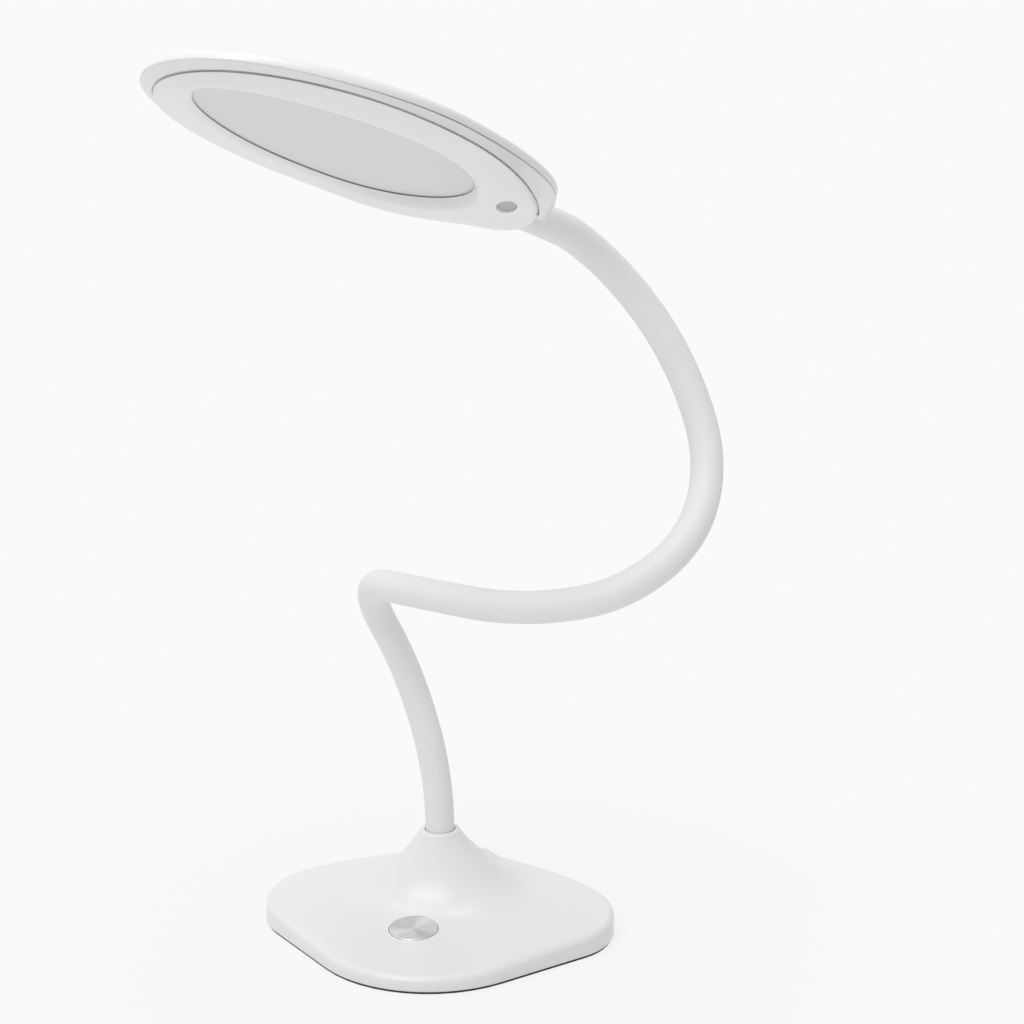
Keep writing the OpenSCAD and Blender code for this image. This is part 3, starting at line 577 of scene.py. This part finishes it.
bm = sleeve(Matrix.Translation((0, 0, socket_z + foot_gap)), [(0, 0.5)], run_in=socket_d - foot_gap)
root = piece("neck_sleeve_root", bm, white_silicone)
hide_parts("neck_sleeve_1")
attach(root, "base")
for i in range(8):
    bend = piece(f"neck_sleeve_bend_{i + 1}", sleeve(along_link(i, 0.5), [(i, 0.5), (i + 1, 0.5)]),
                 white_silicone)
    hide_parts(f"neck_sleeve_{i + 2}")
    along_link(i, 0.6).to_translation() * 0.001
    along_link(i + 1, 0.4).to_translation() * 0.001
    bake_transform(bend)
end = piece("neck_sleeve_end", sleeve(along_link(8, 0.5), [(8, 0.5)], run_out=stub_len), white_silicone)
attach(end, "head")

tone, place, close = finish("core_steel", metallic=1.0)
wear = noise(tone, place, 0.003, 3)
core_steel = close(between(tone, wear, (0.42, 0.42, 0.43), (0.58, 0.58, 0.58)), 0.3 + 0.2 * wear)
coat_nodes(core_steel, *[f"neck_core_{i}" for i in range(1, 10)])


# Lower plate: the white underside of the head, a thin moulding. It swells a little towards the light
# window, which it frames with a bevel. Its tail thickens to cover the neck, beside the well of a screw.
groove_z, rim_z, rim_top, sheet_z, lip_depth = -5.0, -4.4, -0.1, -4.7, 0.6
plate_oval = (112, 173.4, 109.8, 0.118, 0.3)
window_oval = (127.6, 121, 70.4, -0.135, 0)
tip_lift, tail_sag, tail_gap, bevel_w, edge_drop = 0.9, 0.9, 0.45, 3.4, 0.1
swell, tail_swell, neck_swell = 1.4, 2.7, 1.5
edge_fullness, tail_fullness, well_fullness, tail_bluntness = 1.5, 6, 2.5, 0.45
# A span names the two places, along the head or across it, between which a form fades in.
lift_span, sag_rear, sag_front, gap_span = (100, 160), (35, 65), (120, 75), (70, 45)
tail_span, well_side, neck_span, neck_sides = (125, 60), (-15, 15), (62, 44), (18, 0)
channel_r, channel_len, channel_at = 7.6, stub_len + 0.5, head_at @ turn_about("Y", 90)
well_x, well_y, well_turn, well_seat, well_out = 60.2, 23.1, 47, -5.04, -30
well_r, well_len, well_w = 5, 17.5, 7.9
well_oval = turn_about("Z", well_turn) @ Matrix.Diagonal((well_len / 2 / well_r, well_w / 2 / well_r, 1, 1))
well_at = head_at @ Matrix.Translation((well_x, well_y, 0)) @ well_oval


def oval_point(oval, inset, a):
    """Point of an egg-shaped oval (centre, length, width, skew, pinch of the tail) at angle a."""
    x, length, width, skew, taper = oval
    pinch = 1 + skew * math.cos(a) - taper * min(0, math.cos(a)) ** 2
    return Vector((x + (length / 2 - inset) * math.cos(a), (width / 2 - inset) * math.sin(a) * pinch, 0))


def oval_ring(oval, inset, steps=200):
    return [oval_point(oval, inset, math.tau * k / steps) for k in range(steps)]


def plate_ring(inset):
    """The plate's edge drawn in by inset, and by a little more where the joint widens at the tail."""
    return [a.lerp(b, fade(a.x, *gap_span))
            for a, b in zip(oval_ring(plate_oval, inset), oval_ring(plate_oval, inset + tail_gap))]


def sag(x):
    """How far the underside hangs between the window's rear end and the neck."""
    return tail_sag * fade(x, *sag_rear) * fade(x, *sag_front)


def lift(x):
    """How far the plate's edge and the rim's foot rise towards the tip."""
    return tip_lift * fade(x, *lift_span)


def underside(p, u):
    """Depth of the plate at a share u of the way from the window's bevel to its edge. The tail is deeper,
    and stays deep for longer towards the edge, less so on the well's side."""
    tail = fade(p.x, *tail_span)
    at_tail = tail_fullness + (well_fullness - tail_fullness) * fade(p.y, *well_side)
    fullness = edge_fullness + (at_tail - edge_fullness) * tail
    under_neck = fade(abs(p.y), *neck_sides) * fade(p.x, *neck_span)
    depth = swell + lift(p.x) + tail_swell * tail ** 2 + neck_swell * under_neck
    share = (1 - u ** fullness) ** (1 - tail_bluntness * tail)
    return groove_z + lift(p.x) - sag(p.x) - edge_drop - depth * share


rings = []
for d, z in ((-5, rim_z), (-4.2, sheet_z), (-2.6, sheet_z), (-2.6, sheet_z - 0.35),
             (-0.15, sheet_z - 0.5)):
    rings.append([Vector((p.x, p.y, z - sag(p.x))) for p in oval_ring(window_oval, d)])
for step in range(9):
    t = step / 8
    near_lip = (1 - t) ** 2
    ring = oval_ring(window_oval, -bevel_w * t)
    lip = [sheet_z - sag(p.x) - lip_depth for p in ring]
    rings.append([Vector((p.x, p.y, z * near_lip + underside(p, 0) * (1 - near_lip)))
                  for p, z in zip(ring, lip)])
inner, outer = oval_ring(window_oval, -bevel_w), plate_ring(0.65)
for u in (0.1, 0.25, 0.4, 0.52, 0.64, 0.74, 0.82, 0.88, 0.93, 0.965, 0.985, 1):
    ring = [a.lerp(b, u) for a, b in zip(inner, outer)]
    rings.append([Vector((p.x, p.y, underside(p, u))) for p in ring])
for d, z in ((0.75, groove_z), (0.85, groove_z + 0.05), (1.6, groove_z + 0.05), (1.6, rim_z)):
    rings.append([Vector((p.x, p.y, z + lift(p.x) - sag(p.x))) for p in plate_ring(d)])
bm = carve(skin(rings, closed=True, frame_at=head_at), rod(channel_r, 0, channel_len, channel_at),
           rod(well_r, well_out, well_seat, well_at))
plate = piece("head_plate_moulding", bm, satin_white, smooth=34)
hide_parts("head_plate")
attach(plate, "head")


# Screw plug: a soft moulding, pressed into the well over the head of the clamp screw. Its grey colour is
# painted shade that darkens the recess, and its dished face lies a little inside the plate's.
plug_r, plug_top, plug_face, plug_dish = 4.85, -6.0, -8.5, 1.5
profile = [(0, plug_top), (plug_r, plug_top), (plug_r, plug_face + 0.2),
           (plug_r - 0.12, plug_face + 0.04)]
profile += [(plug_r * t, plug_face + plug_dish * (1 - t * t))
            for t in (0.95, 0.85, 0.7, 0.55, 0.4, 0.25, 0.12, 0)]
tone, place, close = finish("grey_plug_painted_shade")
grain = noise(tone, place, 0.0006, 2)
# Painted shade: the plug is coloured grey so that the recess looks darker.
grey_plug_painted_shade = close(between(tone, grain, (0.50, 0.50, 0.50), (0.56, 0.56, 0.56)), 0.5 + 0.2 * grain,
                  bump(tone, grain, 0.00003, 0.4))
plug = piece("screw_plug_dished", turned(profile, well_at, 64), grey_plug_painted_shade)
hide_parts("screw_plug")
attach(plug, "head")


# Rim: the white moulded band round the head between the two joint lines. It stands on the plate, leans out
# from it to the cover, and ends behind in two tongues with the neck between them.
head_oval = (114.7, 178.4, 109, 0.144, -0.15)
rear_x, rear_corner, deck_x, deck_corner, head_wall = 40, 4.5, 42, 2, 2
tip_drop, drop_span, tongue_rise, tongue_span = 1.7, (115, 180), 1.3, (27.5, 23.5)
joint_gap, joint_span, edge_turn_r, half_steps = 0.45, (180, 120), 62, 85
foot_stop, foot_corner, foot_end = 33, Vector((27.5, 10.2, 0)), Vector((23.5, 10.4, 0))
top_stop, top_corner, top_end = 38, Vector((28.5, 18.5, 0)), Vector((28.5, 14, 0))


def ended(oval, inset, stop_x, corner, turn):
    """The oval as far back as stop_x, then a round corner to turn and a straight line across."""
    stop = math.acos((stop_x - oval[0]) / (oval[1] / 2 - inset))
    side = [oval_point(oval, inset, stop * (k / half_steps - 1)) for k in range(2 * half_steps + 1)]
    left = [side[-1].lerp(corner, t).lerp(corner.lerp(turn, t), t) for t in (0.2, 0.4, 0.6, 0.8)]
    right = [Vector((p.x, -p.y, 0)) for p in reversed(left)]
    other = Vector((turn.x, -turn.y, 0))
    return side + left + straight(turn, other, 40) + [other] + right


def cut_oval(oval, inset, cut_x, corner_run):
    """The oval cut straight across at cut_x, with rounded corners."""
    stop = math.acos((cut_x - oval[0]) / (oval[1] / 2 - inset))
    corner = oval_point(oval, inset, stop)
    near = oval_point(oval, inset, stop - corner_run / edge_turn_r)
    return ended(oval, inset, near.x, corner, corner - Vector((0, corner_run, 0)))


def head_edge(inset):
    return cut_oval(head_oval, inset, rear_x + inset, rear_corner - 0.3 * inset)


def parting_drop(x):
    """How far the joint between rim and cover falls towards the tip, where the cover's edge is fuller."""
    return tip_drop * fade(x, *drop_span)


def rim_ring(inset, z, gap=0):
    """Ring of the rim, which leans from the plate's edge at its foot to the cover's edge at its top. A gap
    below the cover opens towards the tail."""
    if inset < head_wall:
        inward = Vector((inset, 0, 0))
        foot = ended(plate_oval, inset, foot_stop, foot_corner + inward, foot_end + inward)
        top = ended(head_oval, inset, top_stop, top_corner + inward, top_end + inward)
    else:
        foot = cut_oval(plate_oval, inset, deck_x, deck_corner)
        top = cut_oval(head_oval, inset, deck_x, deck_corner)
    share = (z - rim_z) / (rim_top - rim_z)
    ring = []
    for p in (a.lerp(b, share) for a, b in zip(foot, top)):
        foot_rise = lift(p.x) - sag(p.x) + tongue_rise * fade(p.x, *tongue_span)
        fall = parting_drop(p.x) * share + gap * fade(p.x, *joint_span)
        ring.append(Vector((p.x, p.y, z + foot_rise * (1 - share) - fall)))
    return ring


profile = [(0.3, rim_z), (0.08, rim_z + 0.1), (0, rim_z + 0.4), (0, -2.4), (0, rim_top - 0.6, joint_gap),
           (0.1, rim_top - 0.25, joint_gap), (0.4, rim_top, joint_gap), (1.4, rim_top, joint_gap),
           (1.4, rim_top + 0.001), (head_wall, rim_top + 0.001), (head_wall, rim_z), (1.7, rim_z),
           (1.6, rim_z + 1.2), (0.5, rim_z + 1.2)]
bm = carve(skin([rim_ring(*point) for point in profile], closed=True, frame_at=head_at),
           rod(channel_r, 0, rear_x + 10, channel_at))
rim = piece("head_rim_band", bm, satin_white, smooth=34)
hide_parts("head_rim")
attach(rim, "head")


# Top cover: the domed white back of the head, a moulding that snaps over the rim, with a hood over the
# neck. The gap between its lower edge and the rim shows as a thin dark line.
side_h, side_fall, crown_h, head_tip = 4.7, 1, 3.4, 201
hood_h, hood_half, hood_span = 5, 20, (85, rear_x)
cover_wall, cover_round, tip_round, tip_span = 1.6, 3.4, 7.5, (115, 175)
edge_depth, tip_edge_depth = 2.8, 5


def cover_edge(x, y):
    """Height of the cover's edge: it falls to the tip, and the hood rises behind."""
    hood = (1 + math.cos(math.pi * min(1, abs(y) / hood_half))) / 2
    return (rim_top + side_h - side_fall * (x - rear_x) / (head_tip - rear_x)
            + hood_h * hood * fade(x, *hood_span))


def cover_ring(inset, depth, s=1.0, at_tip=None):
    """Ring at an inset and a depth from the cover's edge, or a share s of it on the crown. At the tip the
    ring may have another inset and depth."""
    middle, ring = head_oval[0], []
    tip_inset, tip_depth = at_tip or (inset, depth)
    for p, q in zip(head_edge(inset), head_edge(tip_inset)):
        tip = fade(p.x, *tip_span)
        r = p.lerp(q, tip)
        x, y = middle + (r.x - middle) * s, r.y * s
        down = depth + (tip_depth - depth) * tip
        ring.append(Vector((x, y, cover_edge(x, y) - down + crown_h * (1 - s * s))))
    return ring


shares = (1, 0.93, 0.85, 0.76, 0.66, 0.55, 0.42, 0.28, 0.14, 0)
rings = [cover_ring(cover_wall + cover_round * 2 / 3, cover_wall, s) for s in reversed(shares)]
rings.append(cover_ring(cover_wall, cover_wall + cover_round / 3))
for d, z in ((cover_wall, 0), (0.25, 0), (0.07, 0.1), (0, 0.3)):
    rings.append([Vector((p.x, p.y, rim_top + z - parting_drop(p.x))) for p in head_edge(d)])
for step in range(8):
    a = math.radians(90 * step / 8)
    out, down = 1 - math.cos(a), 1 - math.sin(a)
    rings.append(cover_ring(cover_round * out, edge_depth * down,
                            at_tip=(tip_round * out, tip_edge_depth * down)))
rings += [cover_ring(cover_round, 0, s, (tip_round, 0)) for s in shares]
bm = carve(skin(rings, frame_at=head_at), rod(channel_r, 0, channel_len, channel_at))
cover = piece("head_cover_dome", bm, satin_white, smooth=34)
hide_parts("head_top_cover")
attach(cover, "head")


# Light window: a sheet of opal acrylic laid on the plate from inside, satin below. The lamp is off, so it
# looks greyer than the shell. A narrow slot between it and the plate's lip shows as a line.
sheet_margin, sheet_t = 4, 1.4


def sheet_ring(share, z):
    """Ring of the sheet at a share of the way from its middle to its edge."""
    middle = window_oval[0]
    ring = [(middle + (p.x - middle) * share, p.y * share) for p in oval_ring(window_oval, -sheet_margin)]
    return [Vector((x, y, z - sag(x))) for x, y in ring]


rings = [sheet_ring(s, sheet_z) for s in (0, 0.3, 0.6, 0.85, 1)]
rings += [sheet_ring(s, sheet_z + sheet_t) for s in (1, 0.6, 0)]
tone, place, close = finish("opal_acrylic")
cloud = noise(tone, place, 0.05)
matt = noise(tone, place, 0.0006, 2)
opal_acrylic = close(between(tone, cloud, (0.725, 0.725, 0.724), (0.765, 0.765, 0.764)),
                     0.48 + 0.12 * matt, bump(tone, matt, 0.00003, 0.3))
window = piece("diffuser_sheet", skin(rings, frame_at=head_at), opal_acrylic)
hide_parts("diffuser")
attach(window, "head")


# Inside the head: a white coated metal board with rows of yellow light chips faces the window. An aluminium
# sheet behind it spreads the heat, and a grey moulded block clamps the end of the neck's core.
tone, place, close = finish("grey_moulding")
grain = noise(tone, place, 0.0007, 2)
grey_moulding = close(between(tone, grain, (0.30, 0.30, 0.31), (0.38, 0.38, 0.39)), 0.45 + 0.2 * grain)
coat_nodes(grey_moulding, "neck_clamp")

tone, place, close = finish("white_coated_board")
grain = noise(tone, place, 0.0015, 2)
white_coated_board = close(between(tone, grain, (0.80, 0.80, 0.79), (0.86, 0.86, 0.85)),
                           0.3 + 0.15 * grain)
coat_nodes(white_coated_board, "light_board")

tone, place, close = finish("phosphor_chips", **{"Coat Weight": 0.5})
grain = noise(tone, place, 0.0006, 2)
phosphor_chips = close(between(tone, grain, (0.72, 0.55, 0.10), (0.82, 0.66, 0.18)), 0.35 + 0.2 * grain)
coat_nodes(phosphor_chips, "light_chips")

tone, place, close = finish("spreader_sheet", metallic=1.0)
rolled = noise(tone, place, 0.002, 3)
spreader_sheet = close(between(tone, rolled, (0.68, 0.68, 0.69), (0.80, 0.80, 0.81)), 0.28 + 0.2 * rolled)
coat_nodes(spreader_sheet, "heat_spreader")
